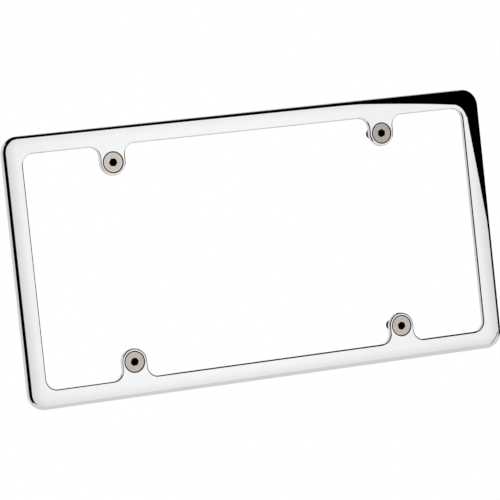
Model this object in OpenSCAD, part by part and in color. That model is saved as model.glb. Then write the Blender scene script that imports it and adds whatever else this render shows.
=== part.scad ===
// Number plate frame: one billet ring with four lobes, and the four socket screws that fix it.
// Millimetres. X runs along the width, Z is up and the front faces -Y.
// The origin is the middle of the four-screw pattern, on the flat back face of the frame.

/* [Screw pattern] */
// Screw spacing along the width, seven inches
pitch_x = 177.8; // [150:0.1:210]
// Screw spacing along the height, four and three quarter inches
pitch_z = 120.65; // [100:0.05:145]

/* [Frame outline] */
// Width of the window
window_w = 291; // [245:0.5:350]
// From a screw's centre out to the window's long edge
lobe_reach = 10.275; // [8.5:0.025:14]
// Width of the two side rails
side_rail = 12.2; // [10:0.1:20]
// Width of the top and bottom rails
top_rail = 11.3; // [9.5:0.1:13]
// Thickness at the crest of the front face (one eighth of an inch)
thick = 3.175; // [2.6:0.025:5]
// Radius of the four outer corners
corner_r = 10.5; // [10:0.5:20]
// Radius of the four window corners
window_r = 6.8; // [4:0.2:12]

/* [Front face and edges] */
// Flat band of the top and bottom rails, between the window and the crown
flat_band = 2.3; // [1:0.1:5]
// Radius of the crown across a rail
crown_r = 60; // [45:5:400]
// Straight wall left at the back of the outer edge, below the full round
edge_land = 0.3; // [0.2:0.05:1]
// Chamfer along the back of the outer edge
back_break = 0.15; // [0.05:0.05:0.2]
// Chamfer along the front of the window edge
window_break = 0.5; // [0.1:0.05:0.8]

/* [Screw lobes] */
// Width of the lobe's face between its edge and the countersink
lobe_wall = 1.3; // [0.8:0.1:4]
// Fillet where a lobe meets its rail
lobe_fillet = 6.5; // [3:0.25:8]
// Gap all round between the head's rim and the countersink's mouth
sink_margin = 0.7; // [0.3:0.05:1]
// Included angle of the countersink and of the screw head
sink_angle = 90; // [82:1:90]
// Gap all round between the thread and its clearance hole
hole_gap = 0.6; // [0.3:0.05:0.8]

/* [Screws] */
// Thread diameter
screw_d = 6; // [5:0.1:6.5]
// Overall length of a screw, from its head face
screw_len = 18; // [12:1:30]
// Diameter of the head rim
head_d = 12; // [10:0.1:15]
// Chamfer around the head face
head_break = 0.15; // [0.05:0.05:0.3]
// Depth of the head face below the front of the frame
head_recess = 0.2; // [0:0.05:0.4]
// Gap between the seated head and its countersink
seat_gap = 0.03; // [0.01:0.01:0.1]
// Width across the flats of the hexagon socket
socket_af = 4; // [3:0.1:4.5]
// Depth of the hexagon socket
socket_deep = 2.5; // [1.5:0.1:2.8]
// Angle of the cone that the socket's drill leaves
drill_angle = 120; // [90:5:140]
// Depth of the lead-in at the socket's mouth
socket_lead = 0.15; // [0.1:0.05:0.6]
// Chamfer at the free end of a screw
end_chamfer = 0.8; // [0.3:0.1:1.2]

/* [Turn of each socket] */
// Top left screw, in degrees
turn_top_left = -6; // [-30:1:30]
// Top right screw, in degrees
turn_top_right = 22; // [-30:1:30]
// Bottom left screw, in degrees
turn_bottom_left = 4; // [-30:1:30]
// Bottom right screw, in degrees
turn_bottom_right = -24; // [-30:1:30]

/* [Hidden] */
$fn = 120;
// Cutters run this far past the faces they open
past = 1;

// Outline, built outwards from the screw pattern and the window
window_h = pitch_z + 2 * lobe_reach;
overall_w = window_w + 2 * side_rail;
overall_h = window_h + 2 * top_rail;

// Rail section, drawn from the corner centre outwards; the round fills what the land leaves
crown_w = top_rail - flat_band;
flat_w = corner_r - crown_w;
crown_z = thick - crown_r;
land_drop = crown_r - thick + edge_land;
round_room = crown_r * crown_r - crown_w * crown_w - land_drop * land_drop;
edge_r = round_room / (2 * (crown_r - crown_w));
round_x = corner_r - edge_r;
round_z = edge_land;

// Line through both arc centres, run past the front face
beyond = (crown_r + past) / (crown_r - edge_r);
blend_x = flat_w + (round_x - flat_w) * beyond;
blend_z = crown_z + (round_z - crown_z) * beyond;

// Straight runs between corner centres
run_x = overall_w - 2 * corner_r;
run_z = overall_h - 2 * corner_r;
window_run_x = window_w - 2 * window_r;
window_run_z = window_h - 2 * window_r;

// Both ways round, for what is alike on opposite rails
half_turns = [0, 180];

// Each corner of a ring: side along X, side along Z, quarter turn that faces it
corners = [[1, 1, 0], [-1, 1, 90], [-1, -1, 180], [1, -1, 270]];

// Countersink, and the lobe around it drawn with its rail towards +Y
sink_r = head_d / 2 + sink_margin;
lobe_r = sink_r + lobe_wall;
root_y = lobe_reach + flat_band;
neck_y = lobe_reach - lobe_fillet;
fillet_x = lobe_r + lobe_fillet;
land_z = thick - window_break;
hole_r = screw_d / 2 + hole_gap;
sink_slope = tan(sink_angle / 2);
sink_out_r = sink_r + past * sink_slope;
sink_in_r = sink_r - (thick + past) * sink_slope;

// Screw, seated in the countersink
head_z = thick - head_recess;
seat_r = sink_r - seat_gap / cos(sink_angle / 2);
rim_z = thick - (seat_r - head_d / 2) / sink_slope;
neck_z = thick - (seat_r - screw_d / 2) / sink_slope;
tail_z = head_z - screw_len;
socket_r = socket_af / 2 / cos(30);
socket_floor = head_z - socket_deep;
drill_deep = socket_af / 2 / tan(drill_angle / 2);

// Each screw: side along X, side along Z, turn of its lobe, turn of its socket
screws = [
  [-1, 1, 0, turn_top_left],
  [1, 1, 0, turn_top_right],
  [-1, -1, 180, turn_bottom_left],
  [1, -1, 180, turn_bottom_right]
];

// Crown arc over the rail, cut off at the line where it runs into the edge round
module crown_section() {
  intersection() {
    translate([flat_w, crown_z]) circle(r = crown_r);
    polygon([[flat_w, 0], [round_x, 0], [round_x, round_z], [blend_x, blend_z], [flat_w, blend_z]]);
  }
}

// Edge round, from the crown down to the outer wall
module round_section() {
  intersection() {
    translate([round_x, round_z]) circle(r = edge_r);
    polygon([
      [round_x, round_z], [blend_x, blend_z],
      [corner_r + past, blend_z], [corner_r + past, round_z]
    ]);
  }
}

// Whole rail section: X is the distance from the corner centre, Y the height off the back
module rail_section() {
  square([flat_w, thick]);
  crown_section();
  round_section();
  polygon([
    [round_x, 0], [corner_r - back_break, 0], [corner_r, back_break],
    [corner_r, round_z], [round_x, round_z]
  ]);
}

// One straight rail, its outer edge on the line y = reach
module straight_rail(run, reach) {
  translate([0, reach - corner_r, 0]) rotate([90, 0, 90])
    linear_extrude(height = run, center = true) rail_section();
}

// Solid blank with its crowned border, before the window is cut
module blank() {
  translate([0, 0, thick / 2]) cube([run_x, run_z, thick], center = true);
  for (turn = half_turns) {
    rotate([0, 0, turn]) straight_rail(run_x, overall_h / 2);
    rotate([0, 0, turn - 90]) straight_rail(run_z, overall_w / 2);
  }
  for (corner = corners) {
    translate([corner[0] * run_x / 2, corner[1] * run_z / 2, 0]) rotate([0, 0, corner[2]])
      rotate_extrude(angle = 90) rail_section();
  }
}

// Section of a window cutter that reaches half_w each way, with its front flare
module flare_section(half_w) {
  flared = half_w + window_break + past;
  polygon([
    [-half_w, -past], [half_w, -past], [half_w, land_z],
    [flared, thick + past], [-flared, thick + past], [-half_w, land_z]
  ]);
}

// Window corner: a quarter of a flared round cutter
module flare_corner() {
  flared = window_r + window_break + past;
  rotate_extrude(angle = 90) polygon([
    [0, -past], [window_r, -past], [window_r, land_z],
    [flared, thick + past], [0, thick + past]
  ]);
}

// Cutter for the window, with the chamfer around its front edge
module window_cutter() {
  rotate([90, 0, 90]) linear_extrude(height = window_run_x, center = true)
    flare_section(window_h / 2);
  rotate([90, 0, 0]) linear_extrude(height = window_run_z, center = true)
    flare_section(window_w / 2);
  for (corner = corners) {
    translate([corner[0] * window_run_x / 2, corner[1] * window_run_z / 2, 0])
      rotate([0, 0, corner[2]]) flare_corner();
  }
}

// Round nose of a lobe, chamfered like the window edge
module lobe_nose() {
  rotate_extrude() polygon([
    [0, 0], [lobe_r, 0], [lobe_r, land_z], [lobe_r - window_break, thick], [0, thick]
  ]);
}

// Straight neck between the nose and the fillets
module lobe_neck() {
  translate([0, neck_y, 0]) rotate([90, 0, 0]) linear_extrude(height = neck_y) polygon([
    [-lobe_r, 0], [lobe_r, 0], [lobe_r, land_z], [lobe_r - window_break, thick],
    [window_break - lobe_r, thick], [-lobe_r, land_z]
  ]);
}

// Root of a lobe: a block run into the rail, with the two fillets cut from it
module lobe_root() {
  difference() {
    translate([-fillet_x, neck_y, 0]) cube([2 * fillet_x, root_y - neck_y, thick]);
    for (side = [-1, 1]) translate([side * fillet_x, neck_y, 0]) rotate_extrude() polygon([
      [0, -past], [lobe_fillet, -past], [lobe_fillet, land_z],
      [lobe_fillet + window_break + past, thick + past], [0, thick + past]
    ]);
  }
}

// Clearance hole and countersink, right through a lobe
module screw_hole() {
  translate([0, 0, -past]) cylinder(h = thick + 2 * past, r = hole_r);
  translate([0, 0, -past])
    cylinder(h = thick + 2 * past, r1 = sink_in_r, r2 = sink_out_r);
}

// Puts a copy of the children at each screw, with the rail towards their +Y
module at_each_lobe() {
  for (screw = screws) translate([screw[0] * pitch_x / 2, screw[1] * pitch_z / 2, 0])
    rotate([0, 0, screw[2]]) children();
}

// The billet frame
module plate_frame() {
  color([0.86, 0.87, 0.88]) rotate([90, 0, 0]) difference() {
    union() {
      difference() {
        blank();
        window_cutter();
      }
      at_each_lobe() {
        lobe_nose();
        lobe_neck();
        lobe_root();
      }
    }
    at_each_lobe() screw_hole();
  }
}

// Head, cone and shank of one screw, turned about its own axis
module screw_body() {
  rotate_extrude() polygon([
    [0, head_z],
    [head_d / 2 - head_break, head_z],
    [head_d / 2, head_z - head_break],
    [head_d / 2, rim_z],
    [screw_d / 2, neck_z],
    [screw_d / 2, tail_z + end_chamfer],
    [screw_d / 2 - end_chamfer, tail_z],
    [0, tail_z]
  ]);
}

// Hexagon socket with its lead-in and the cone left by the drill
module socket_cutter() {
  translate([0, 0, socket_floor])
    cylinder(h = socket_deep + past, r = socket_r, $fn = 6);
  translate([0, 0, socket_floor - drill_deep])
    cylinder(h = drill_deep, r1 = 0, r2 = socket_af / 2);
  translate([0, 0, head_z - socket_lead])
    cylinder(h = socket_lead + past, r1 = socket_af / 2, r2 = socket_af / 2 + socket_lead + past);
}

// The four screws, alike except for the turn of their sockets
module plate_screws() {
  color([0.72, 0.69, 0.66]) rotate([90, 0, 0]) for (screw = screws) {
    translate([screw[0] * pitch_x / 2, screw[1] * pitch_z / 2, 0]) difference() {
      screw_body();
      rotate([0, 0, screw[3]]) socket_cutter();
    }
  }
}

plate_frame();
plate_screws();
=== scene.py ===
"""Looks of a polished billet number plate frame and the four socket screws that fix it.

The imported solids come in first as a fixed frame.  Both of them are then shown by finer
meshes in the same place: metres, X along the width, Z up and the front face towards -Y.
Outlines are drawn flat, seen from the front, and turned upright at the end of each tree.
"""

from __future__ import annotations

import logging
import math
from dataclasses import dataclass, field
from enum import Enum
from typing import Any, Callable, Iterable, Mapping, Sequence

import bmesh
import bpy
import numpy as np
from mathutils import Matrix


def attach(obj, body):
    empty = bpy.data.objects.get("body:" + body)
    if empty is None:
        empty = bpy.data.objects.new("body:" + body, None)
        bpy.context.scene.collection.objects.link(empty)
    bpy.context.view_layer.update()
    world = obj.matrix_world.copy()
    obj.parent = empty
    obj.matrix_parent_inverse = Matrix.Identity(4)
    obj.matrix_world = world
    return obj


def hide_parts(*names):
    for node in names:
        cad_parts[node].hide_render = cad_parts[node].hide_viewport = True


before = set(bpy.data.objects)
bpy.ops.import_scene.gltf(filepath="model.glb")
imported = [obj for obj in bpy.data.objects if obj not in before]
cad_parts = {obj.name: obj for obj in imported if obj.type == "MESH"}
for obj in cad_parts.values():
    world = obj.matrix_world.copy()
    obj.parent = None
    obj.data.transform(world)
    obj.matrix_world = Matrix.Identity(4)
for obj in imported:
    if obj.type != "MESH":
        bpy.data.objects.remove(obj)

LOG = logging.getLogger("plate_frame_scene")

MM = 0.001
FULL_TURN = 2 * math.pi
HEX_TURN = math.pi / 3
QUARTER_TURN = math.pi / 2
WELD = 1e-6
TINY = 1e-30
HALF = 0.5
UPRIGHT = (QUARTER_TURN, 0.0, 0.0)

Flat = tuple[float, float]
Colour = tuple[float, float, float]
BLACK: Colour = (0.0, 0.0, 0.0)
WHITE: Colour = (1.0, 1.0, 1.0)


class Num:
    """A number socket that can be used in plain arithmetic; each step adds a Math node."""

    def __init__(self, graph: "Graph", socket: bpy.types.NodeSocket) -> None:
        """Keeps the graph and the socket that the number comes from."""
        self.graph = graph
        self.socket = socket

    def math(self, operation: str, *others: "Num | float") -> "Num":
        """Returns this number put through one Math node with the others."""
        return self.graph.math(operation, self, *others)

    def __add__(self, other: "Num | float") -> "Num":
        """Sum."""
        return self.math("ADD", other)

    __radd__ = __add__

    def __sub__(self, other: "Num | float") -> "Num":
        """Difference."""
        return self.math("SUBTRACT", other)

    def __rsub__(self, other: "Num | float") -> "Num":
        """Difference with the number on the right."""
        return self.graph.math("SUBTRACT", other, self)

    def __mul__(self, other: "Num | float") -> "Num":
        """Product."""
        return self.math("MULTIPLY", other)

    __rmul__ = __mul__

    def __truediv__(self, other: "Num | float") -> "Num":
        """Quotient."""
        return self.math("DIVIDE", other)

    def __rtruediv__(self, other: "Num | float") -> "Num":
        """Quotient with the number below the line."""
        return self.graph.math("DIVIDE", other, self)

    def __abs__(self) -> "Num":
        """Size without its sign."""
        return self.math("ABSOLUTE")

    def at_least(self, low: "Num | float") -> "Num":
        """Returns the number, or the limit where the number is below it."""
        return self.math("MAXIMUM", low)

    def at_most(self, high: "Num | float") -> "Num":
        """Returns the number, or the limit where the number is above it."""
        return self.math("MINIMUM", high)

    def reach(self, other: "Num") -> "Num":
        """Returns the distance whose two sides are this number and another."""
        return (self * self + other * other).math("SQRT")

    def rise(self, start: float, end: float) -> "Num":
        """Returns a mask that climbs smoothly from 0 at start to 1 at end."""
        ranged = self.graph.node(
            "ShaderNodeMapRange",
            {"interpolation_type": "SMOOTHSTEP"},
            {"Value": self, "From Min": start, "From Max": end},
        )
        return Num(self.graph, ranged.outputs["Result"])

    def band(self, low: float, high: float, soft: float) -> "Num":
        """Returns a mask that is 1 between low and high, with soft sides."""
        half = soft / 2
        return self.rise(low - half, low + half) * (1 - self.rise(high - half, high + half))


class Graph:
    """Adds nodes to one tree: a material's, the world's or a Geometry Nodes group's."""

    def __init__(self, tree: bpy.types.NodeTree) -> None:
        """Keeps the tree that the nodes go into."""
        self.tree = tree

    @staticmethod
    def blank(owner: bpy.types.Material | bpy.types.World) -> "Graph":
        """Returns the emptied graph of a new material or world."""
        owner.use_nodes = True
        owner.node_tree.nodes.clear()
        return Graph(owner.node_tree)

    def node(
        self,
        kind: str,
        settings: Mapping[str, Any] | None = None,
        values: Mapping[str | int, Any] | None = None,
    ) -> bpy.types.Node:
        """Adds one node.

        Args:
            kind: Blender's name for the node's type.
            settings: Properties, which are set first.
            values: A number, colour, socket or list of sockets for each named input.

        Returns:
            The new node.
        """
        made = self.tree.nodes.new(kind)
        for name, value in (settings or {}).items():
            setattr(made, name, value)
        for key, value in (values or {}).items():
            self._feed(made.inputs[key], value)
        return made

    def math(self, operation: str, *values: Num | float) -> Num:
        """Returns the result of one Math node."""
        made = self.node("ShaderNodeMath", {"operation": operation}, dict(enumerate(values)))
        return Num(self, made.outputs[0])

    def split(self, vector: bpy.types.NodeSocket) -> tuple[Num, Num, Num]:
        """Returns a vector's three numbers."""
        made = self.node("ShaderNodeSeparateXYZ", values={0: vector})
        return tuple(Num(self, out) for out in made.outputs)

    def join(self, *parts: Num | float) -> bpy.types.NodeSocket:
        """Returns three numbers as one vector."""
        return self.node("ShaderNodeCombineXYZ", values=dict(enumerate(parts))).outputs[0]

    def noise(self, place: bpy.types.NodeSocket, scale: float, detail: float = 2.0) -> Num:
        """Returns soft noise from 0 to 1 at a scale in lumps per metre."""
        made = self.node(
            "ShaderNodeTexNoise", values={"Vector": place, "Scale": scale, "Detail": detail}
        )
        return Num(self, made.outputs[0])

    def blend(self, factor: Any, first: Any, second: Any) -> bpy.types.NodeSocket:
        """Returns one shader run into another."""
        return self.node("ShaderNodeMixShader", values={0: factor, 1: first, 2: second}).outputs[0]

    def mix(self, factor: Num | float, first: Any, second: Any) -> bpy.types.NodeSocket:
        """Returns one colour run into another, by the node's sockets that carry colours."""
        made = self.node("ShaderNodeMix", {"data_type": "RGBA"}, {0: factor, 6: first, 7: second})
        return made.outputs[2]

    def bump(
        self, height: Num, distance: float, under: bpy.types.NodeSocket | None = None
    ) -> bpy.types.NodeSocket:
        """Returns the normal of a surface raised by a height, over another normal if given."""
        values = {"Height": height, "Distance": distance, "Strength": 1.0}
        if under is not None:
            values["Normal"] = under
        return self.node("ShaderNodeBump", values=values).outputs[0]

    def metal(self, colour: Any, rough: Num, normal: Any) -> bpy.types.NodeSocket:
        """Returns the shader of bare metal."""
        values = {"Base Color": colour, "Metallic": 1.0, "Roughness": rough, "Normal": normal}
        return self.node("ShaderNodeBsdfPrincipled", values=values).outputs[0]

    def surface(self, kind: str, shader: bpy.types.NodeSocket) -> None:
        """Puts a shader out as the material's or the world's surface."""
        self.node(kind, values={"Surface": shader})

    def _feed(self, socket: bpy.types.NodeSocket, value: Any) -> None:
        """Links or sets one input socket."""
        if isinstance(value, Num):
            self.tree.links.new(value.socket, socket)
        elif isinstance(value, bpy.types.NodeSocket):
            self.tree.links.new(value, socket)
        elif isinstance(value, list):
            for item in value:
                self._feed(socket, item)
        else:
            socket.default_value = value


class InputKind(Enum):
    """Kinds of named input that a Geometry Nodes group takes."""

    SHAPE = "NodeSocketGeometry"
    SIZE = "NodeSocketFloat"
    COUNT = "NodeSocketInt"
    OBJECT = "NodeSocketObject"
    MATERIAL = "NodeSocketMaterial"


class GeometryTree(Graph):
    """A Geometry Nodes group with named inputs, run once on an object as a modifier."""

    def __init__(self, name: str, inputs: Mapping[str, InputKind]) -> None:
        """Makes the group, its named inputs and its one output."""
        super().__init__(bpy.data.node_groups.new(name, "GeometryNodeTree"))
        faces = self.tree.interface
        self.sockets = {
            label: faces.new_socket(name=label, in_out="INPUT", socket_type=kind.value).identifier
            for label, kind in inputs.items()
        }
        faces.new_socket(name="Result", in_out="OUTPUT", socket_type=InputKind.SHAPE.value)
        self.entry = self.tree.nodes.new("NodeGroupInput")

    def given(self, label: str) -> bpy.types.NodeSocket:
        """Returns a named input as a socket."""
        return self.entry.outputs[label]

    def number(self, label: str) -> Num:
        """Returns a named input as a number."""
        return Num(self, self.entry.outputs[label])

    def shape_of(self, label: str) -> bpy.types.NodeSocket:
        """Returns the mesh of the object given at a named input."""
        info = self.node("GeometryNodeObjectInfo", values={"Object": self.given(label)})
        return info.outputs["Geometry"]

    def attribute(self, name: str) -> Num:
        """Returns a number stored on the points under a name."""
        made = self.node("GeometryNodeInputNamedAttribute", values={"Name": name})
        return Num(self, made.outputs["Attribute"])

    def weld(self, shape: bpy.types.NodeSocket) -> bpy.types.NodeSocket:
        """Merges the points of a shape that lie within the given weld of each other."""
        made = self.node(
            "GeometryNodeMergeByDistance",
            values={"Geometry": shape, "Distance": self.given("Weld")},
        )
        return made.outputs[0]

    def put_out(self, shape: bpy.types.NodeSocket) -> None:
        """Makes a shape the group's result."""
        leave = self.tree.nodes.new("NodeGroupOutput")
        self.tree.links.new(shape, leave.inputs[0])

    def end(self, shape: bpy.types.NodeSocket) -> None:
        """Turns the shape upright, realizes it, gives it its material and puts it out."""
        turned = self.node("GeometryNodeTransform", values={"Geometry": shape, "Rotation": UPRIGHT})
        real = self.node("GeometryNodeRealizeInstances", values={0: turned.outputs[0]})
        dressed = self.node(
            "GeometryNodeSetMaterial",
            values={"Geometry": real.outputs[0], "Material": self.given("Material")},
        )
        self.put_out(dressed.outputs[0])

    def run(self, start: bpy.types.Object, values: Mapping[str, Any]) -> bpy.types.Mesh:
        """Runs the group on an object and returns the result as a plain mesh.

        Args:
            start: Object whose mesh goes in; it is left without the modifier.
            values: Value for each named input other than the shape.

        Returns:
            A new mesh with every instance made real.
        """
        step = start.modifiers.new(self.tree.name, "NODES")
        step.node_group = self.tree
        for label, value in values.items():
            step[self.sockets[label]] = value
        view = bpy.context.evaluated_depsgraph_get()
        mesh = bpy.data.meshes.new_from_object(start.evaluated_get(view), depsgraph=view)
        start.modifiers.remove(step)
        given = [item for item in mesh.materials if item]
        mesh.materials.clear()
        for item in given:
            mesh.materials.append(item)
        mesh.polygons.foreach_set("material_index", [0] * len(mesh.polygons))
        return mesh


class Bench:
    """Small jobs on meshes: laying guides, closing, shading, rounding and clearing away."""

    @staticmethod
    def guide(
        name: str, points: Sequence[Sequence[float]], edges: Iterable[tuple[int, int]] = ()
    ) -> bpy.types.Object:
        """Makes a linked helper object out of points and edges."""
        mesh = bpy.data.meshes.new(name)
        mesh.from_pydata([(*point, 0.0)[:3] for point in points], list(edges), [])
        return Bench.place(name, mesh)

    @staticmethod
    def place(name: str, mesh: bpy.types.Mesh) -> bpy.types.Object:
        """Links a mesh to the scene as an object at the origin."""
        mesh.name = name
        made = bpy.data.objects.new(name, mesh)
        bpy.context.scene.collection.objects.link(made)
        return made

    @staticmethod
    def clear(objects: Iterable[bpy.types.Object]) -> None:
        """Removes helper objects and their meshes."""
        for item in list(objects):
            mesh = item.data
            bpy.data.objects.remove(item)
            bpy.data.meshes.remove(mesh)

    @staticmethod
    def open_rim(work: bmesh.types.BMesh, axis: int, level: float) -> list[bmesh.types.BMEdge]:
        """Returns the open edges that lie at one level along an axis."""
        return [
            edge
            for edge in work.edges
            if edge.is_boundary and all(abs(v.co[axis] - level) < WELD for v in edge.verts)
        ]

    @staticmethod
    def keep(work: bmesh.types.BMesh, mesh: bpy.types.Mesh, name: str) -> None:
        """Turns a shape's faces outwards, logs how closed it is and writes it to its mesh."""
        bmesh.ops.recalc_face_normals(work, faces=work.faces)
        open_edges = sum(1 for edge in work.edges if not edge.is_manifold)
        LOG.info("%s: %d faces, %d open edges", name, len(work.faces), open_edges)
        work.to_mesh(mesh)
        work.free()

    @staticmethod
    def shade(mesh: bpy.types.Mesh, crease: float) -> None:
        """Smooths a mesh with normals weighted by area, which keeps its flats flat.

        Args:
            mesh: Mesh to shade.
            crease: Angle in radians past which two faces aren't smoothed together.
        """
        loops, faces = len(mesh.loops), len(mesh.polygons)
        vertex = np.empty(loops, np.int64)
        mesh.loops.foreach_get("vertex_index", vertex)
        sides = np.empty(faces, np.int64)
        mesh.polygons.foreach_get("loop_total", sides)
        normal = np.empty(faces * 3)
        mesh.polygons.foreach_get("normal", normal)
        normal = normal.reshape(-1, 3)
        area = np.empty(faces)
        mesh.polygons.foreach_get("area", area)
        face = np.repeat(np.arange(faces), sides)
        order = np.argsort(vertex, kind="stable")
        counts = np.bincount(vertex, minlength=len(mesh.vertices))
        first = np.cumsum(counts) - counts
        near = counts[vertex]
        left = np.repeat(np.arange(loops), near)
        step = np.arange(left.size) - np.repeat(np.cumsum(near) - near, near)
        right = order[first[vertex[left]] + step]
        mine, other = normal[face[left]], normal[face[right]]
        weight = area[face[right]] * ((mine * other).sum(1) > math.cos(crease))
        summed = np.stack(
            [np.bincount(left, weight * other[:, axis], loops) for axis in range(3)], axis=1
        )
        length = np.linalg.norm(summed, axis=1, keepdims=True)
        smooth = np.where(length > 0, summed / np.maximum(length, TINY), normal[face])
        mesh.polygons.foreach_set("use_smooth", np.ones(faces, bool))
        mesh.normals_split_custom_set(smooth.tolist())

    @staticmethod
    def soften(corners: Sequence[Flat], radii: Sequence[float], steps: int) -> list[Flat]:
        """Rounds each inner corner of an open line with a small arc.

        Args:
            corners: Points of the line.
            radii: Radius of each inner corner's arc.
            steps: Number of facets in each arc.

        Returns:
            The points of the rounded line.
        """
        line = [np.array(corner, float) for corner in corners]
        out = [tuple(line[0])]
        for before, at, after, radius in zip(line, line[1:], line[2:], radii):
            back = (before - at) / np.linalg.norm(before - at)
            ahead = (after - at) / np.linalg.norm(after - at)
            half = math.acos(float(np.clip(back @ ahead, -1, 1))) / 2
            middle = (back + ahead) / np.linalg.norm(back + ahead)
            centre = at + middle * radius / math.sin(half)
            start = at + back * radius / math.tan(half) - centre
            end = at + ahead * radius / math.tan(half) - centre
            for step in range(steps + 1):
                part = step / steps
                spoke = start * (1 - part) + end * part
                out.append(tuple(centre + spoke * radius / np.linalg.norm(spoke)))
        out.append(tuple(line[-1]))
        return out


class Trace:
    """A flat closed line drawn anticlockwise from arcs, with straights run between them."""

    def __init__(self, longest: float) -> None:
        """Starts an empty line whose straights are cut into pieces no longer than longest."""
        self.points: list[Flat] = []
        self.longest = longest

    def go(self, point: Flat) -> None:
        """Runs straight on to a point."""
        if self.points:
            last = np.array(self.points[-1])
            span = np.array(point) - last
            length = float(np.linalg.norm(span))
            if length < WELD:
                return
            pieces = math.ceil(length / self.longest)
            self.points += [tuple(last + span * k / pieces) for k in range(1, pieces)]
        self.points.append((float(point[0]), float(point[1])))

    def arc(self, centre: Flat, radius: float, start: float, sweep: float, steps: int) -> None:
        """Runs straight to an arc and then round it.

        Args:
            centre: Centre of the arc.
            radius: Its radius.
            start: Angle at which it begins, in quarter turns.
            sweep: Angle that it turns through, in quarter turns; clockwise if negative.
            steps: Number of facets for each quarter turn.
        """
        pieces = round(steps * abs(sweep))
        for step in range(pieces + 1):
            angle = (start + sweep * step / pieces) * QUARTER_TURN
            self.go((centre[0] + radius * math.cos(angle), centre[1] + radius * math.sin(angle)))

    def close(self) -> list[Flat]:
        """Runs back to the first point and returns the points, each one once."""
        self.go(self.points[0])
        return self.points[:-1]


class Line(Enum):
    """The three kinds of line that the frame's edges follow, each with its section's name."""

    RIM = "Rail section"
    WINDOW = "Window section"
    MOUTH = "Mouth section"

    @property
    def number(self) -> float:
        """The number that marks the line's points."""
        return float(list(Line).index(self))


def from_screw(east: Num, north: Num, pitch: Flat) -> Num:
    """Returns the distance from the nearest screw's axis."""
    return (abs(east) - pitch[0] / 2).reach(abs(north) - pitch[1] / 2)


@dataclass(frozen=True)
class MirrorPolish:
    """Buffed billet aluminium: a clear mirror with the faint haze and drag lines of the mop, and
    painted shade in the seam round each screw's head.

    A scale is in lumps per metre, a step, a sunk or an upright is where a soft step starts and
    ends, a share is how much of the haze's colour goes in, and a rough is what is added to the
    roughness.  Past corner_start from the centre of a corner the face rolls off by
    corner_slope, eased in over corner_run.
    """

    pitch: Flat
    seam: Flat
    front: float
    corner: Flat
    corner_start: float
    corner_slope: float = 0.011
    corner_run: float = 1.0 * MM
    tint: Colour = (0.92, 0.922, 0.926)
    haze_tint: Colour = (0.88, 0.886, 0.895)
    roughness: float = 0.008
    # Painted shade in the seam round each head: its colour, then the seam's roughness, soft sides
    # and depths.
    seam_shade_tint: Colour = (0.2, 0.178, 0.162)
    seam_rough: float = 0.2
    seam_soft: float = 0.02 * MM
    seam_sunk: Flat = (0.02 * MM, 0.08 * MM)
    haze_scale: float = 55.0
    haze_detail: float = 4.0
    haze_step: Flat = (0.42, 0.78)
    haze_share: float = 0.5
    haze_rough: float = 0.007
    drag_scale: float = 900.0
    drag_stretch: float = 22.0
    drag_upright: Flat = (143.5 * MM, 147.5 * MM)
    drag_step: Flat = (0.5, 0.72)
    drag_share: float = 0.12
    drag_rough: float = 0.004
    drag_height: float = 4e-8
    ripple_scale: float = 38.0
    ripple_detail: float = 1.0
    ripple_height: float = 2.5e-7

    def _fall(self, reach: Num) -> Num:
        """Returns how far the mop has rolled the face off at a distance from a corner's centre."""
        beyond = (reach - self.corner_start).at_least(0.0)
        curved = beyond.at_most(self.corner_run)
        return (beyond - curved + curved * curved / (2 * self.corner_run)) * self.corner_slope

    def _corner_level(self, east: Num, north: Num) -> Num:
        """Returns the face's height round the four corners, where the mop runs off two rails.

        Args:
            east: Place along the frame's width, in metres.
            north: Place along the frame's height, in metres.

        Returns:
            The height, in metres, nought along the straight rails.
        """
        across = (abs(east) - self.corner[0]).at_least(0.0)
        up = (abs(north) - self.corner[1]).at_least(0.0)
        return self._fall(across) + self._fall(up) - self._fall(across.reach(up))

    def material(self) -> bpy.types.Material:
        """Builds the material for the frame."""
        made = bpy.data.materials.new("mirror_polish")
        graph = Graph.blank(made)
        place = graph.node("ShaderNodeTexCoord").outputs["Object"]
        east, deep, north = graph.split(place)
        haze = graph.noise(place, self.haze_scale, self.haze_detail).rise(*self.haze_step)
        stretch = 1 / self.drag_stretch
        level = graph.noise(graph.join(east * stretch, deep, north), self.drag_scale)
        upright = graph.noise(graph.join(east, deep, north * stretch), self.drag_scale)
        side = abs(east).rise(*self.drag_upright)
        drag = upright * side + level * (1 - side)
        lines = drag.rise(*self.drag_step)
        share = haze * self.haze_share + lines * self.drag_share
        colour = graph.mix(share, (*self.tint, 1), (*self.haze_tint, 1))
        # Painted shade: the countersink's cone in the gap round each head is painted dark, for the
        # shade that lies in the gap.
        sunk = deep.rise(*(self.front + depth for depth in self.seam_sunk))
        seam = from_screw(east, north, self.pitch).band(*self.seam, self.seam_soft) * sunk
        colour = graph.mix(seam, colour, (*self.seam_shade_tint, 1))
        rough = self.roughness + haze * self.haze_rough
        rough = rough + lines * self.drag_rough + seam * self.seam_rough
        rolled = graph.bump(self._corner_level(east, north) / MM, MM)
        ripple = graph.noise(place, self.ripple_scale, self.ripple_detail)
        swell = graph.bump(ripple, self.ripple_height, rolled)
        scored = graph.bump(drag, self.drag_height, swell)
        graph.surface("ShaderNodeOutputMaterial", graph.metal(colour, rough, scored))
        return made


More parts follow.
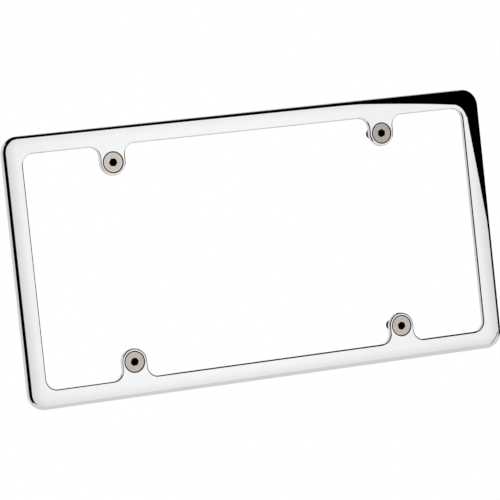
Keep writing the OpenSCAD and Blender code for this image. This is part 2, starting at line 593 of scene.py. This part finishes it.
@dataclass
class BilletFrame:
    """One billet ring: crowned rails, a softened window edge, four lobes and their countersinks.

    All sizes are in metres and are those of the solid, save for three that the mop leaves:
    roll_r between the face and the window's chamfer, polish_r on every other edge, and
    mopped_r, how far from the centre of a window corner the face starts to roll off.  The
    painted shade in the seam round each head, on a countersink's cone, ends a short spread
    outside its mouth.
    """

    pitch_x: float = 177.8 * MM
    pitch_z: float = 120.65 * MM
    window_w: float = 291 * MM
    lobe_reach: float = 10.275 * MM
    side_rail: float = 12.2 * MM
    top_rail: float = 11.3 * MM
    thick: float = 3.175 * MM
    corner_r: float = 10.5 * MM
    window_r: float = 6.8 * MM
    flat_band: float = 2.3 * MM
    crown_r: float = 60 * MM
    edge_land: float = 0.3 * MM
    back_break: float = 0.15 * MM
    window_break: float = 0.5 * MM
    lobe_wall: float = 1.3 * MM
    lobe_fillet: float = 6.5 * MM
    head_r: float = 6 * MM
    sink_margin: float = 0.7 * MM
    hole_r: float = 3.6 * MM
    polish_r: float = 0.09 * MM
    roll_r: float = 0.5 * MM
    mopped_r: float = 9.4 * MM
    soft_steps: int = 6
    arc_steps: int = 30
    fillet_steps: int = 22
    mouth_steps: int = 24
    crown_steps: int = 26
    round_steps: int = 24
    longest: float = 12 * MM
    crease: float = math.radians(32)
    # How far past a countersink's mouth its painted seam shade reaches.
    seam_shade_spread: float = 0.03 * MM

    @property
    def sink_r(self) -> float:
        """Radius of a countersink's mouth."""
        return self.head_r + self.sink_margin

    @property
    def half_window(self) -> Flat:
        """Half the window's width and height."""
        return self.window_w / 2, self.pitch_z / 2 + self.lobe_reach

    @property
    def corner(self) -> Flat:
        """Centre of the window's corner at the top right."""
        return self.half_window[0] - self.window_r, self.half_window[1] - self.window_r

    def finish(self) -> MirrorPolish:
        """Returns the polish, with painted shade in the seam round each screw's head."""
        seam = (self.hole_r, self.sink_r + self.seam_shade_spread)
        pitch = (self.pitch_x, self.pitch_z)
        return MirrorPolish(pitch, seam, -self.thick, self.corner, self.mopped_r)

    def rim(self) -> list[Flat]:
        """Returns the outer line of the frame."""
        half_w = self.half_window[0] + self.side_rail - self.corner_r
        half_h = self.half_window[1] + self.top_rail - self.corner_r
        trace = Trace(self.longest)
        for quarter, (side_x, side_z) in enumerate(((1, 1), (-1, 1), (-1, -1), (1, -1))):
            centre = (side_x * half_w, side_z * half_h)
            trace.arc(centre, self.corner_r, quarter, 1, self.arc_steps)
        return trace.close()

    def window(self) -> list[Flat]:
        """Returns the window's line, in and out round each lobe."""
        lobe_r = self.sink_r + self.lobe_wall
        fillet_x = lobe_r + self.lobe_fillet
        fillet_z = self.half_window[1] - self.lobe_fillet
        trace = Trace(self.longest)
        for side in (1, -1):

            def bend(x: float, z: float, radius: float, start: float, sweep: float) -> None:
                """Draws one arc of the upper half, or of the lower half turned half round."""
                turned = start if side == 1 else start + 2
                trace.arc((side * x, side * z), radius, turned, sweep, self.fillet_steps)

            bend(self.corner[0], self.corner[1], self.window_r, 0, 1)
            for lobe_x in (self.pitch_x / 2, -self.pitch_x / 2):
                bend(lobe_x + fillet_x, fillet_z, self.lobe_fillet, 1, 1)
                bend(lobe_x, self.pitch_z / 2, lobe_r, 0, -2)
                bend(lobe_x - fillet_x, fillet_z, self.lobe_fillet, 0, 1)
            bend(-self.corner[0], self.corner[1], self.window_r, 1, 1)
        return trace.close()

    def mouths(self) -> list[list[Flat]]:
        """Returns the line of each countersink's mouth."""
        lines = []
        for centre in self.centres():
            trace = Trace(self.longest)
            trace.arc(centre, self.sink_r, 0, 4, self.mouth_steps)
            lines.append(trace.close())
        return lines

    def centres(self) -> list[Flat]:
        """Returns the screw centres: top left, top right, bottom left, bottom right."""
        half_x, half_z = self.pitch_x / 2, self.pitch_z / 2
        return [(side_x * half_x, side_z * half_z) for side_z in (1, -1) for side_x in (-1, 1)]

    def rail_section(self) -> list[Flat]:
        """Returns the rail's section from the rim: how far out, and the height off the back."""
        crown_w = self.top_rail - self.flat_band
        crown_z = self.thick - self.crown_r
        drop = self.edge_land - crown_z
        room = self.crown_r**2 - crown_w**2 - drop**2
        edge_r = room / (2 * (self.crown_r - crown_w))
        blend = math.atan2(drop, crown_w - edge_r)
        line = [(-self.back_break, 0.0), (0.0, self.back_break)]
        for step in range(self.round_steps + 1):
            angle = blend * step / self.round_steps
            out = edge_r * (math.cos(angle) - 1)
            line.append((out, self.edge_land + edge_r * math.sin(angle)))
        for step in range(1, self.crown_steps + 1):
            angle = blend + (QUARTER_TURN - blend) * step / self.crown_steps
            out = self.crown_r * math.cos(angle) - crown_w
            line.append((out, crown_z + self.crown_r * math.sin(angle)))
        return line

    def edge_section(self) -> list[Flat]:
        """Returns the window edge's section, from the front face down the wall to the back."""
        corners = [
            (self.window_break + self.roll_r, self.thick),
            (self.window_break, self.thick),
            (0.0, self.thick - self.window_break),
            (0.0, 0.0),
            (2 * self.polish_r, 0.0),
        ]
        radii = [self.roll_r, self.polish_r, self.polish_r]
        return Bench.soften(corners, radii, self.soft_steps)

    def sink_section(self) -> list[Flat]:
        """Returns the countersink's section, from the front face down the cone to the back."""
        slope = self.hole_r - self.sink_r
        corners = [
            (2 * self.polish_r, self.thick),
            (0.0, self.thick),
            (slope, self.thick + slope),
            (slope, 0.0),
        ]
        softened = Bench.soften(corners[:3], [self.polish_r], self.soft_steps)
        return softened + corners[3:]

    def tree(self) -> GeometryTree:
        """Builds the group that sweeps each section along its own lines and welds them."""
        tree = GeometryTree(
            "billet_sweep",
            {
                "Lines": InputKind.SHAPE,
                **{kind.value: InputKind.OBJECT for kind in Line},
                "Weld": InputKind.SIZE,
                "Material": InputKind.MATERIAL,
            },
        )
        swept = [self._sweep(tree, kind) for kind in Line]
        joined = tree.node("GeometryNodeJoinGeometry", values={0: swept})
        tree.end(tree.weld(joined.outputs[0]))
        return tree

    @staticmethod
    def _sweep(tree: GeometryTree, kind: Line) -> bpy.types.NodeSocket:
        """Adds the nodes that run one section along the lines of one kind."""
        wanted = tree.attribute("line").math("COMPARE", kind.number, HALF)
        picked = tree.node(
            "GeometryNodeSeparateGeometry",
            {"domain": "POINT"},
            {"Geometry": tree.given("Lines"), "Selection": wanted},
        )
        path = tree.node("GeometryNodeMeshToCurve", values={0: picked.outputs["Selection"]})
        level = tree.node(
            "GeometryNodeSetCurveNormal", {"mode": "Z_UP"}, {"Curve": path.outputs[0]}
        )
        section = tree.node("GeometryNodeMeshToCurve", values={0: tree.shape_of(kind.value)})
        swept = tree.node(
            "GeometryNodeCurveToMesh",
            values={"Curve": level.outputs[0], "Profile Curve": section.outputs[0]},
        )
        return swept.outputs["Mesh"]

    def lines(self) -> bpy.types.Object:
        """Lays every line out as one helper object, with its kind stored on its points."""
        points: list[Flat] = []
        edges: list[tuple[int, int]] = []
        kinds: list[float] = []
        loops = [(Line.RIM, self.rim()), (Line.WINDOW, self.window())]
        loops += [(Line.MOUTH, mouth) for mouth in self.mouths()]
        for kind, loop in loops:
            base, count = len(points), len(loop)
            points += loop
            kinds += [kind.number] * count
            edges += [(base + k, base + (k + 1) % count) for k in range(count)]
        guide = Bench.guide("frame_lines", points, edges)
        stored = guide.data.attributes.new("line", "FLOAT", "POINT")
        stored.data.foreach_set("value", kinds)
        return guide

    def build(self) -> bpy.types.Object:
        """Builds and dresses the whole frame as one closed mesh."""
        sections = {
            Line.RIM: self.rail_section(),
            Line.WINDOW: self.edge_section(),
            Line.MOUTH: self.sink_section(),
        }
        guides = {}
        for kind, section in sections.items():
            points = [(out, -height) for out, height in section]
            edges = [(k, k + 1) for k in range(len(points) - 1)]
            guides[kind.value] = Bench.guide(kind.value, points, edges)
        lines = self.lines()
        values = {**guides, "Weld": WELD, "Material": self.finish().material()}
        mesh = self.tree().run(lines, values)
        Bench.clear([lines, *guides.values()])
        self._face_off(mesh)
        Bench.shade(mesh, self.crease)
        return Bench.place("billet_frame", mesh)

    def _face_off(self, mesh: bpy.types.Mesh) -> None:
        """Fills the flat front and back between the swept edges."""
        work = bmesh.new()
        work.from_mesh(mesh)
        for level in (-self.thick, 0.0):
            rims = Bench.open_rim(work, axis=1, level=level)
            bmesh.ops.triangle_fill(work, use_beauty=True, edges=rims)
        Bench.keep(work, mesh, "billet frame")


@dataclass(frozen=True)
class Pit:
    """A small dark pit in a screw's head, by its screw's place and its own offset."""

    screw: Flat
    offset: Flat
    radius: float


@dataclass(frozen=True)
class TurnedSteel:
    """Satin turned steel: fine rings round each axis and a few small pits, with painted shade in
    the socket and on the thread, a painted highlight near each head's edge and painted light per
    head.

    The four head levels are painted light and shade, how bright each head is made for how the
    light falls on it: top left, top right, bottom left, bottom right.  A scale is in lumps per
    metre, a wander is how far the blotches bend the rings, a step or a sunk is where a soft step
    starts and ends, and a share is how much of a colour goes in.  The mark_shares are those of
    the rings, of the broad rings, of the blotches and of everything alike, and the relief is how
    much the rings, the grain and a pit count in the height.
    """

    pitch: Flat
    head_y: float
    head_r: float
    socket_r: float
    pits: tuple[Pit, ...]
    # Painted light and shade: one brightness for each head, by where it sits.
    painted_head_levels: tuple[float, float, float, float] = (0.99, 0.82, 0.825, 0.9)
    face: Colour = (0.79, 0.724, 0.648)
    worn: Colour = (0.67, 0.606, 0.536)
    # Painted highlight: the pale colour of the ring just inside each head's edge.
    rim: Colour = (0.9, 0.85, 0.79)
    # Painted shade: the near-black colour that stands in for the shade inside each socket.
    socket_shade_colour: Colour = (0.012, 0.012, 0.013)
    # Painted shade on the thread behind the head; the pits are darkened with the same colour.
    thread: Colour = (0.16, 0.15, 0.14)
    roughness: float = 0.17
    ring_pitch: float = 0.34 * MM
    ring_wander: float = 5.0
    ring_height: float = 0.004 * MM
    broad_rings: float = 3.7
    broad_wander: float = 2.0
    grain_scale: float = 2600.0
    grain_rough: float = 0.05
    blotch_scale: float = 420.0
    blotch_detail: float = 3.0
    blotch_rough: float = 0.04
    face_step: Flat = (0.12 * MM, 0.02 * MM)
    mark_shares: tuple[float, float, float, float] = (0.25, 0.3, 0.5, 0.15)
    mark_step: Flat = (0.1, 0.9)
    rim_highlight_inside: Flat = (0.62 * MM, 0.06 * MM)
    rim_highlight_soft: float = 0.1 * MM
    rim_highlight_share: float = 0.7
    thread_shade_step: Flat = (0.4 * MM, 0.9 * MM)
    socket_soft: float = 0.06 * MM
    socket_sunk: Flat = (0.003 * MM, 0.02 * MM)
    pit_core: float = 0.35
    pit_share: float = 0.72
    relief: tuple[float, float, float] = (0.7, 0.3, 6.0)

    def _painted_head_level(self, east: Num, north: Num) -> Num:
        """Returns the painted light level of the head that a place belongs to."""
        top_left, top_right, low_left, low_right = self.painted_head_levels
        right = east.math("GREATER_THAN", 0.0)
        upper = north.math("GREATER_THAN", 0.0)
        above = right * (top_right - top_left) + top_left
        below = right * (low_right - low_left) + low_left
        return upper * above + (1 - upper) * below

    def _pitted(self, east: Num, north: Num) -> Num:
        """Returns how deep in a pit a place lies, from 0 to 1."""
        spots = []
        for pit in self.pits:
            away_x = east - (pit.screw[0] + pit.offset[0])
            away_z = north - (pit.screw[1] + pit.offset[1])
            spots.append(away_x.reach(away_z).rise(pit.radius, pit.radius * self.pit_core))
        return sum(spots[1:], spots[0]).at_least(0.0).at_most(1.0)

    def material(self) -> bpy.types.Material:
        """Builds the material for the screws."""
        made = bpy.data.materials.new("turned_steel")
        graph = Graph.blank(made)
        place = graph.node("ShaderNodeTexCoord").outputs["Object"]
        east, deep, north = graph.split(place)
        radius = from_screw(east, north, self.pitch)
        blotch = graph.noise(place, self.blotch_scale, self.blotch_detail)
        turn = radius / self.ring_pitch * FULL_TURN
        ring = (turn + blotch * self.ring_wander).math("SINE") * HALF + HALF
        broad = (turn / self.broad_rings + blotch * self.broad_wander).math("SINE")
        grain = graph.noise(place, self.grain_scale)
        on_face = deep.rise(*(self.head_y + depth for depth in self.face_step))
        ring_share, broad_share, blotch_share, plain = self.mark_shares
        marks = ring * ring_share + broad * broad_share + blotch * blotch_share + plain
        worn = (marks * on_face).rise(*self.mark_step)
        colour = graph.mix(worn, (*self.face, 1), (*self.worn, 1))
        # Painted highlight: a pale ring just inside each head's edge, where the edge break catches
        # the light.
        edge = radius.band(*(self.head_r - inside for inside in self.rim_highlight_inside), self.rim_highlight_soft)
        colour = graph.mix(edge * on_face * self.rim_highlight_share, colour, (*self.rim, 1))
        # Painted light and shade: each head's colour is dimmed towards black by its own level.
        colour = graph.mix(self._painted_head_level(east, north), (*BLACK, 1), colour)
        # Painted shade: the thread behind the head is painted dark, for the shade that it lies in.
        behind = deep.rise(*(self.head_y + depth for depth in self.thread_shade_step))
        colour = graph.mix(behind, colour, (*self.thread, 1))
        pitted = self._pitted(east, north)
        colour = graph.mix(pitted * on_face * self.pit_share, colour, (*self.thread, 1))
        ring_lift, grain_lift, pit_drop = self.relief
        height = ring * ring_lift + grain * grain_lift - pitted * pit_drop
        rough = self.roughness + grain * self.grain_rough + blotch * self.blotch_rough
        steel = graph.metal(colour, rough, graph.bump(height, self.ring_height))
        # Painted shade: inside the hexagon socket the steel gives way to a near-black matte shader,
        # for the shade down in the socket.
        socket_shade = graph.node("ShaderNodeBsdfDiffuse", values={"Color": (*self.socket_shade_colour, 1)})
        inside = radius.rise(self.socket_r + self.socket_soft, self.socket_r)
        sunk = inside * deep.rise(*(self.head_y + depth for depth in self.socket_sunk))
        whole = graph.blend(sunk, steel, socket_shade.outputs[0])
        graph.surface("ShaderNodeOutputMaterial", whole)
        return made


@dataclass
class SocketScrews:
    """Four countersunk socket screws: turned heads, hexagon sockets and rolled threads.

    All sizes are in metres, save for the thread's flats, which are shares of its pitch, and
    the bore's edge and tip, which are shares of the socket's inner radius.  One screw is made
    on the origin, with its head towards +Z, and a group puts it at the four places of the
    pattern, each with its own turn.
    """

    holder: BilletFrame
    shank_r: float = 3 * MM
    length: float = 18 * MM
    head_break: float = 0.15 * MM
    head_recess: float = 0.2 * MM
    seat_gap: float = 0.03 * MM
    socket_af: float = 4 * MM
    socket_deep: float = 2.5 * MM
    socket_lead: float = 0.15 * MM
    drill_half: float = math.radians(60)
    end_chamfer: float = 0.8 * MM
    thread_pitch: float = 1 * MM
    thread_depth: float = 0.6134 * MM
    crest_flat: float = 1 / 8
    root_flat: float = 1 / 4
    run_out: float = 1.6 * MM
    soft_r: float = 0.05 * MM
    soft_steps: int = 3
    # Width of the lip round the socket, which the socket's painted shade also reaches over.
    lip_and_shade_width: float = 0.28 * MM
    lip_room: float = 0.6 * MM
    bore_edge: Flat = (0.98, 0.01)
    bore_tip: float = 0.05
    around: int = 72
    per_pitch: int = 16
    turns: tuple[float, ...] = (-6, 22, 4, -24)
    crease: float = math.radians(35)

    @property
    def head_z(self) -> float:
        """Height of the head's face off the back of the frame."""
        return self.holder.thick - self.head_recess

    @property
    def seat_r(self) -> float:
        """Radius that the head's cone would have level with the front of the frame."""
        return self.holder.sink_r - self.seat_gap * math.sqrt(2)

    @property
    def neck_z(self) -> float:
        """Height at which the cone runs into the shank."""
        return self.holder.thick - (self.seat_r - self.shank_r)

    def finish(self) -> TurnedSteel:
        """Returns the steel's finish with the pits that three of the heads show."""
        _, top_right, low_left, low_right = self.holder.centres()
        pits = (
            Pit(low_left, (4.6 * MM, 1.5 * MM), 0.42 * MM),
            Pit(low_right, (-4.0 * MM, 0.5 * MM), 0.42 * MM),
            Pit(top_right, (4.5 * MM, 2.8 * MM), 0.4 * MM),
        )
        pattern = (self.holder.pitch_x, self.holder.pitch_z)
        # The socket's painted shade reaches a lip's width past the hexagon's corners.
        socket_r = self.socket_af / 2 / math.cos(HEX_TURN / 2) + self.lip_and_shade_width
        return TurnedSteel(pattern, -self.head_z, self.holder.head_r, socket_r, pits)

    def thread_tree(self) -> GeometryTree:
        """Builds the group that winds a grid into a thread, its rows along the helix."""
        sizes = ("Crest radius", "Pitch", "Depth", "Length", "Run out", "End chamfer", "Top")
        inputs = {label: InputKind.SIZE for label in sizes}
        counts = {"Around": InputKind.COUNT, "Per pitch": InputKind.COUNT}
        tree = GeometryTree(
            "rolled_thread", {"Start": InputKind.SHAPE, **inputs, **counts, "Weld": InputKind.SIZE}
        )
        crest, pitch, depth = (tree.number(label) for label in sizes[:3])
        length, run_out, chamfer, top = (tree.number(label) for label in sizes[3:])
        turns = (length / pitch).math("CEIL") + 1
        rows = (turns * tree.number("Per pitch") + 1).math("ROUND")
        grid = tree.node(
            "GeometryNodeMeshGrid",
            values={
                "Size X": 1.0,
                "Size Y": 1.0,
                "Vertices X": tree.number("Around") + 1,
                "Vertices Y": rows,
            },
        )
        place = tree.node("GeometryNodeInputPosition").outputs[0]
        across, along, _ = tree.split(place)
        across, along = across + HALF, along + HALF
        wound = along * turns
        down = ((wound + across - 1) * pitch).at_least(0.0).at_most(length)
        phase = wound.math("FRACT")
        from_crest = phase.at_most(1 - phase)
        flank_w = (1 - self.crest_flat - self.root_flat) / 2
        flank = ((from_crest - self.crest_flat / 2) / flank_w).at_least(0.0).at_most(1.0)
        cut = flank * depth * (down / run_out).at_most(1.0)
        radius = (crest - cut).at_most(crest - chamfer + length - down)
        angle = across * -FULL_TURN
        spot = tree.join(radius * angle.math("COSINE"), radius * angle.math("SINE"), top - down)
        moved = tree.node(
            "GeometryNodeSetPosition", values={"Geometry": grid.outputs["Mesh"], "Position": spot}
        )
        tree.put_out(tree.weld(moved.outputs[0]))
        return tree

    def set_tree(self) -> GeometryTree:
        """Builds the group that puts one screw at each point, turned as the point says."""
        tree = GeometryTree(
            "screw_set",
            {
                "Places": InputKind.SHAPE,
                "Screw": InputKind.OBJECT,
                "Material": InputKind.MATERIAL,
            },
        )
        turn = tree.join(0.0, 0.0, tree.attribute("turn"))
        placed = tree.node(
            "GeometryNodeInstanceOnPoints",
            values={
                "Points": tree.given("Places"),
                "Instance": tree.shape_of("Screw"),
                "Rotation": turn,
            },
        )
        tree.end(placed.outputs[0])
        return tree

    def head_rings(self) -> list[list[tuple[float, float, float]]]:
        """Returns the rings of the head, from the neck out to the rim and in to the socket."""
        head_r = self.holder.head_r
        flat_r = self.socket_af / 2
        rim_z = self.holder.thick - (self.seat_r - head_r)
        profile = Bench.soften(
            [
                (self.shank_r, self.neck_z),
                (head_r, rim_z),
                (head_r, self.head_z - self.head_break),
                (head_r - self.head_break, self.head_z),
                (flat_r + self.lip_room, self.head_z),
            ],
            [self.soft_r] * 3,
            self.soft_steps,
        )
        floor_z = self.head_z - self.socket_deep
        round_at = [lambda hexa, r=r, z=z: (r, z) for r, z in profile]
        shapes: list[Callable[[float], Flat]] = [
            *round_at,
            lambda hexa: (hexa + self.lip_and_shade_width, self.head_z),
            lambda hexa: (hexa, self.head_z - self.socket_lead),
            lambda hexa: (hexa, (self.head_z + floor_z) / 2),
            lambda hexa: (hexa, floor_z),
            lambda hexa: (flat_r * self.bore_edge[0], floor_z - flat_r * self.bore_edge[1]),
            lambda hexa: (flat_r * self.bore_tip, floor_z - flat_r / math.tan(self.drill_half)),
        ]
        rings = []
        for shape in shapes:
            ring = []
            for step in range(self.around):
                angle = -FULL_TURN * step / self.around
                off = math.fmod(-angle, HEX_TURN) - HEX_TURN / 2
                out, high = shape(flat_r / math.cos(off))
                ring.append((out * math.cos(angle), out * math.sin(angle), high))
            rings.append(ring)
        return rings

    def master(self) -> bpy.types.Object:
        """Makes one whole screw: its thread, head, socket and rounded tail."""
        tail_z = self.head_z - self.length
        start = Bench.guide("thread_start", [(0.0, 0.0)])
        values = {
            "Crest radius": self.shank_r,
            "Pitch": self.thread_pitch,
            "Depth": self.thread_depth,
            "Length": self.neck_z - tail_z,
            "Run out": self.run_out,
            "End chamfer": self.end_chamfer,
            "Top": self.neck_z,
            "Around": self.around,
            "Per pitch": self.per_pitch,
            "Weld": WELD,
        }
        mesh = self.thread_tree().run(start, values)
        Bench.clear([start])
        work = bmesh.new()
        work.from_mesh(mesh)
        rings = [[work.verts.new(spot) for spot in ring] for ring in self.head_rings()]
        for lower, upper in zip(rings, rings[1:]):
            for step in range(self.around):
                ahead = (step + 1) % self.around
                work.faces.new((lower[step], lower[ahead], upper[ahead], upper[step]))
        work.faces.new(rings[-1])
        bmesh.ops.remove_doubles(work, verts=work.verts, dist=WELD)
        tail = Bench.open_rim(work, axis=2, level=tail_z)
        capped = bmesh.ops.triangle_fill(work, use_beauty=True, edges=tail)
        flats = [item for item in capped["geom"] if isinstance(item, bmesh.types.BMFace)]
        bmesh.utils.face_join(flats)
        bmesh.ops.dissolve_degenerate(work, dist=WELD, edges=work.edges)
        Bench.keep(work, mesh, "one screw")
        return Bench.place("screw_master", mesh)

    def build(self) -> bpy.types.Object:
        """Builds and dresses the four screws as one mesh."""
        places = Bench.guide("screw_places", self.holder.centres())
        turn = places.data.attributes.new("turn", "FLOAT", "POINT")
        turn.data.foreach_set("value", [math.radians(angle) for angle in self.turns])
        screw = self.master()
        values = {"Screw": screw, "Material": self.finish().material()}
        mesh = self.set_tree().run(places, values)
        Bench.clear([places, screw])
        Bench.shade(mesh, self.crease)
        return Bench.place("socket_screws", mesh)


# Bearings of the softbox's two sides, where the black cards begin, and the whole height.
BOX_LEFT = 5.1
BOX_RIGHT = 41.0
FULL_HEIGHT = (-95.0, 95.0)


@dataclass(frozen=True)
class Card:
    """A black card of the studio, by its bearing and height in degrees.

    Seen from the frame, bearing 0 is straight ahead of its face and bearing 90 is to its
    right; height 0 is level.  All that follows in the studio is stated the same way.
    """

    bearing: Flat
    height: Flat
    soft: float

    def cover(self, bearing: Num, height: Num) -> Num:
        """Returns how much of a direction the card fills."""
        return bearing.band(*self.bearing, self.soft) * height.band(*self.height, self.soft)


@dataclass(frozen=True)
class Flag:
    """The black flag up on the right: a side and a foot, a little askew, and a round corner.

    Its side leans and its foot sags by so much for each degree, and it fades out between the
    two bearings of its end, counted from its corner.
    """

    corner: Flat = (25.955, -0.28)
    lean: float = -0.107
    sag: float = -0.155
    round_r: float = 0.6
    soft: float = 0.008
    end: Flat = (60.0, 50.0)

    def cover(self, bearing: Num, height: Num) -> Num:
        """Returns how much of a direction the flag fills."""
        across, up = bearing - self.corner[0], height - self.corner[1]
        from_side = (self.round_r - across + up * self.lean).at_least(0.0)
        from_foot = (self.round_r - up + across * self.sag).at_least(0.0)
        edge = from_side.reach(from_foot).rise(self.round_r + self.soft, self.round_r - self.soft)
        return edge * across.rise(*self.end)


@dataclass(frozen=True)
class Softbox:
    """The white softbox ahead, brightest off its middle and duller and cooler to its edges.

    It loses the fall for each degree left or right of its middle, is dimmed over the heights
    above and below, and the cool is how much of what is lost each colour keeps.
    """

    bearing: Flat = (BOX_LEFT, BOX_RIGHT)
    middle: Flat = (20.0, 22.0)
    level: float = 1.0
    fall: Flat = (0.0195, 0.0165)
    above: Flat = (3.0, 13.0)
    below: Flat = (-5.0, -18.0)
    dimmed: Flat = (0.09, 0.15)
    cool: Colour = (0.0, 0.055, 0.08)
    soft: float = 0.6

    def cover(self, bearing: Num) -> Num:
        """Returns how much of a direction the softbox fills."""
        return bearing.band(*self.bearing, self.soft)

    def shine(self, graph: Graph, bearing: Num, height: Num) -> bpy.types.NodeSocket:
        """Returns the softbox's colour in a direction."""
        to_left = (self.middle[0] - bearing).at_least(0.0) * self.fall[0]
        to_right = (bearing - self.middle[1]).at_least(0.0) * self.fall[1]
        level = self.level - to_left - to_right
        level = level * (1 - height.rise(*self.above) * self.dimmed[0])
        level = level * (1 - height.rise(*self.below) * self.dimmed[1])
        level = level.at_least(0.0).at_most(self.level)
        return graph.join(*(level + (1 - level) * share for share in self.cool))


@dataclass(frozen=True)
class Sweep:
    """The pale paper below, right and behind, with the dark gap where the softbox meets it.

    Each edge is a slope and the height at bearing 0, and the higher of the two counts.
    """

    colour: Colour = (0.682, 0.676, 0.664)
    edge: Flat = (0.33, -24.3)
    turned_edge: Flat = (1.15, -49.7)
    highest: float = -4.5
    soft: float = 0.5
    gap: Flat = (29.5, 38.0)
    gap_half: float = 0.6
    gap_depth: float = 0.9

    def cover(self, bearing: Num, height: Num) -> Num:
        """Returns how much of a direction the paper fills."""
        slope = bearing * self.edge[0] + self.edge[1]
        turned = bearing * self.turned_edge[0] + self.turned_edge[1]
        edge = slope.at_least(turned).at_most(self.highest)
        return (height - edge).rise(self.soft, -self.soft)

    def gap_cover(self, bearing: Num, height: Num) -> Num:
        """Returns how dark the gap is in a direction."""
        off = abs(height - bearing * self.turned_edge[0] - self.turned_edge[1])
        line = off.rise(self.gap_half + self.soft / 2, self.gap_half - self.soft / 2)
        return line * bearing.band(*self.gap, self.soft) * self.gap_depth


@dataclass
class Studio:
    """Plain studio: a pale floor, white all round, and the cards that the metal mirrors."""

    floor_z: float = -3.0
    floor_half: float = 12.0
    white: float = 1.0
    exposure: float = 0.0
    softbox: Softbox = field(default_factory=Softbox)
    flag: Flag = field(default_factory=Flag)
    sweep: Sweep = field(default_factory=Sweep)
    left_card: Card = Card((-65.5, BOX_LEFT), FULL_HEIGHT, 0.6)
    near_cards: tuple[Card, ...] = (
        Card((BOX_RIGHT, 160), (-13, 30), 0.6),
        Card((BOX_RIGHT, 134), (29, 95), 0.6),
        Card((-72, 100), (31, 95), 1.0),
        Card((-200, 200), (54, 95), 2.0),
    )

    def light(self) -> None:
        """Builds the world: white to the camera, and a room of cards to everything else."""
        world = bpy.data.worlds.new("studio")
        bpy.context.scene.world = world
        graph = Graph.blank(world)
        way = graph.node("ShaderNodeTexCoord").outputs["Generated"]
        right, ahead, up = graph.split(way)
        bearing = right.math("ARCTAN2", -1 * ahead).math("DEGREES")
        height = up.math("ARCSINE").math("DEGREES")
        lit = self.softbox.shine(graph, bearing, height)
        colour = graph.mix(self.softbox.cover(bearing), (*self.sweep.colour, 1), lit)
        layers = [
            (self.left_card.cover(bearing, height), BLACK),
            (self.sweep.cover(bearing, height), self.sweep.colour),
            (self.sweep.gap_cover(bearing, height), BLACK),
            *((card.cover(bearing, height), BLACK) for card in self.near_cards),
            (self.flag.cover(bearing, height), BLACK),
        ]
        for cover, shade in layers:
            colour = graph.mix(cover, colour, (*shade, 1))
        room = graph.node("ShaderNodeBackground", values={"Color": colour})
        bare = {"Color": (*WHITE, 1), "Strength": self.white}
        plain = graph.node("ShaderNodeBackground", values=bare)
        seen = graph.node("ShaderNodeLightPath").outputs["Is Camera Ray"]
        either = graph.blend(seen, room.outputs[0], plain.outputs[0])
        graph.surface("ShaderNodeOutputWorld", either)

    def lay_floor(self) -> bpy.types.Object:
        """Lays the pale floor below the frame, seen by the camera alone."""
        half = self.floor_half
        corners = [(-half, -half), (half, -half), (half, half), (-half, half)]
        mesh = bpy.data.meshes.new("floor")
        mesh.from_pydata([(x, y, self.floor_z) for x, y in corners], [], [(0, 1, 2, 3)])
        floor = Bench.place("floor", mesh)
        made = bpy.data.materials.new("pale_floor")
        graph = Graph.blank(made)
        glow = graph.node("ShaderNodeEmission", values={"Strength": self.white})
        graph.surface("ShaderNodeOutputMaterial", glow.outputs[0])
        mesh.materials.append(made)
        for ray in ("diffuse", "glossy", "transmission", "shadow"):
            setattr(floor, f"visible_{ray}", False)
        return floor

    def develop(self) -> None:
        """Sets plain colour, so that a level of 1 comes out as white."""
        view = bpy.context.scene.view_settings
        view.view_transform = "Standard"
        view.look = "None"
        view.exposure = self.exposure
        view.gamma = 1.0


@dataclass(frozen=True)
class Viewpoint:
    """The photograph's camera: where it stands, how it is turned and how long its lens is."""

    place: tuple[float, float, float] = (-0.69051, -1.71231, 0.07379)
    turn: tuple[float, float, float] = (87.62975, 6.05935, -22.04584)
    lens: float = 217.152
    sensor: float = 36.0
    clip: Flat = (0.05, 60.0)

    def stand(self) -> bpy.types.Object:
        """Makes the camera and puts the scene behind it."""
        data = bpy.data.cameras.new("viewpoint")
        data.lens = self.lens
        data.sensor_width = self.sensor
        data.sensor_fit = "HORIZONTAL"
        data.clip_start, data.clip_end = self.clip
        camera = bpy.data.objects.new("viewpoint", data)
        bpy.context.scene.collection.objects.link(camera)
        camera.location = self.place
        camera.rotation_euler = tuple(math.radians(angle) for angle in self.turn)
        bpy.context.scene.camera = camera
        return camera


def report(piece: bpy.types.Object, body: str, node: str) -> None:
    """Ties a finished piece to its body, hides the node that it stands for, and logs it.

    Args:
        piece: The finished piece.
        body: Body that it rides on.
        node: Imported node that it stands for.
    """
    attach(piece, body)
    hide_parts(node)
    triangles = sum(len(face.vertices) - 2 for face in piece.data.polygons)
    LOG.info("%s: %d triangles, rides on %s, stands for %s", piece.name, triangles, body, node)


def main() -> None:
    """Builds the viewpoint, the studio and the two pieces, in that order."""
    logging.basicConfig(level=logging.INFO, format="%(name)s: %(message)s")
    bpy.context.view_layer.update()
    Viewpoint().stand()
    studio = Studio()
    studio.develop()
    studio.light()
    studio.lay_floor()
    holder = BilletFrame()
    report(holder.build(), "root", "plate_frame")
    report(SocketScrews(holder).build(), "root", "plate_screws")


if __name__ == "__main__":
    main()
